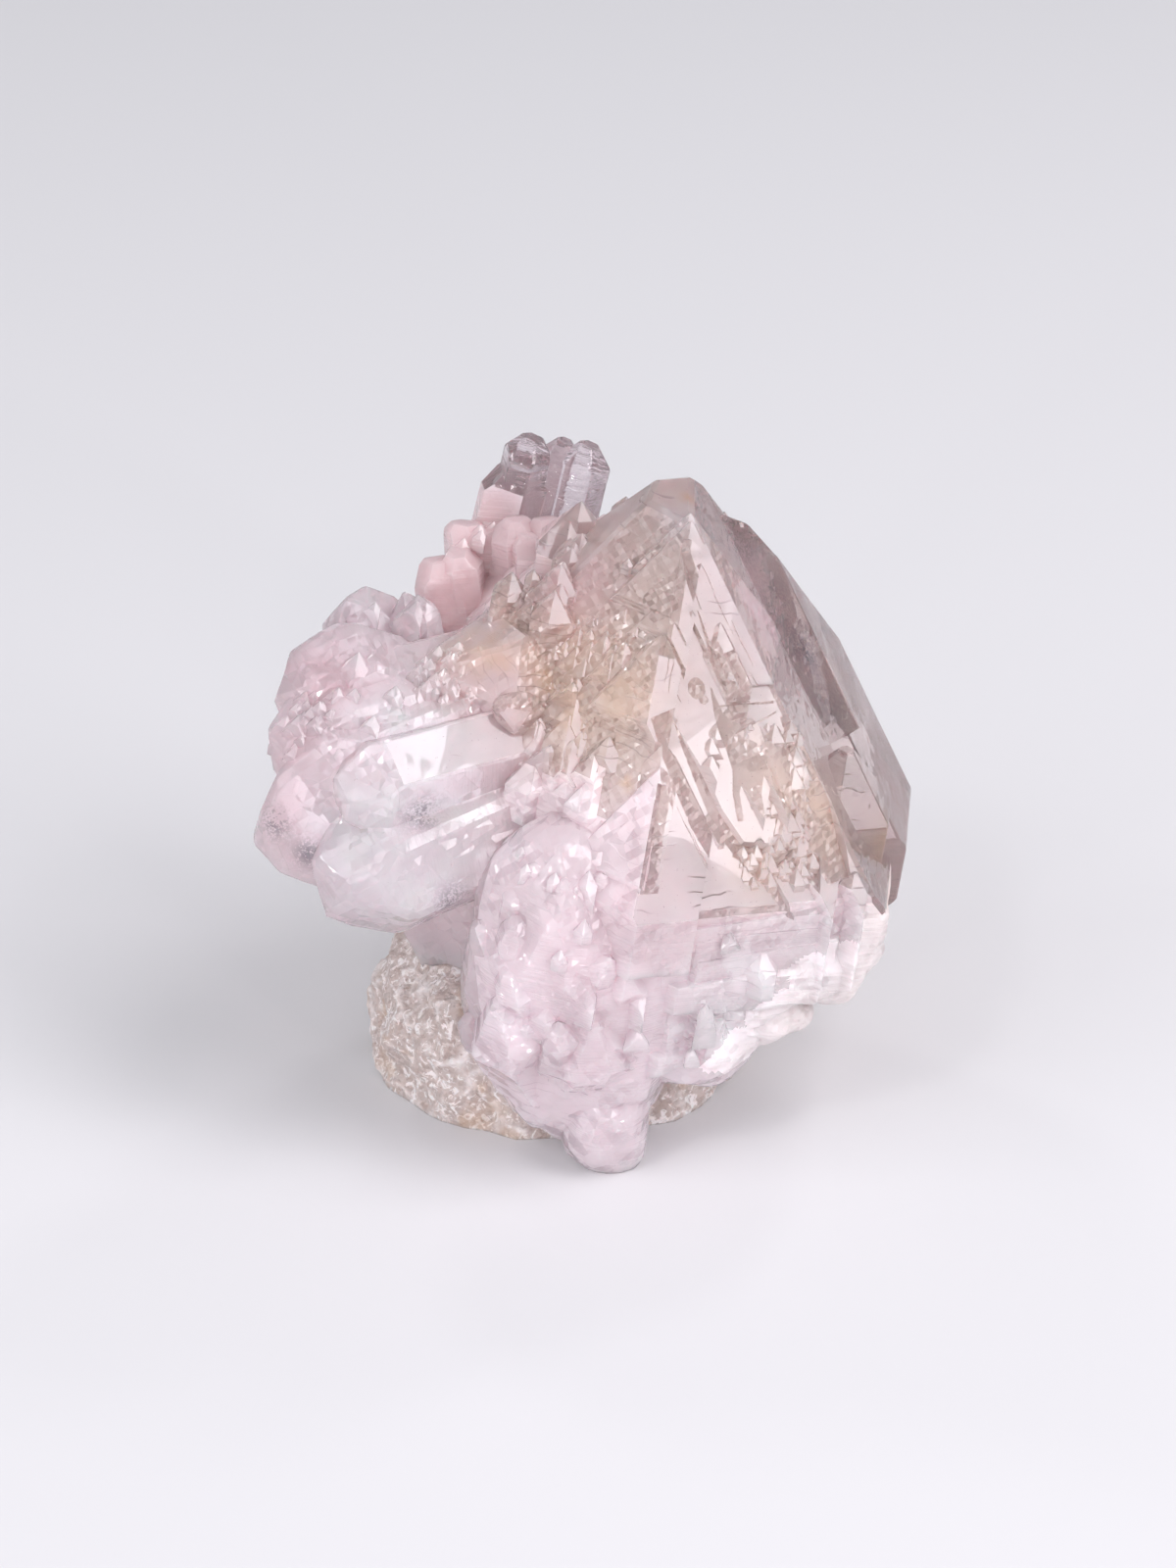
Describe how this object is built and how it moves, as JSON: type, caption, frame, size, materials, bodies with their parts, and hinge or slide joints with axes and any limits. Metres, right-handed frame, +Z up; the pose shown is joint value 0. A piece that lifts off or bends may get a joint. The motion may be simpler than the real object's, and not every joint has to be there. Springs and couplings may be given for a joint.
{
  "type": "elestial rose quartz cluster",
  "caption": "Rough cluster of grown-together quartz points, smoky, clear and milky pink with stepped faces, on a lump of pale host rock with a flat base.",
  "frame": {"origin": "on the flat base of the host rock, under the middle of the specimen", "axes": "+Z up along the standing height, -Y towards the stepped front face, +X to its right"},
  "size_m": [0.0673, 0.0578, 0.0612],
  "materials": {
    "quartz": "natural crystal faces, translucent, smoky to milky pink",
    "host_rock": "rough broken rock, pale tan with white grains and rust stains"
  },
  "bodies": {
    "root": {"rose_quartz": "quartz", "matrix_rock": "host_rock"}
  },
  "joints": []
}
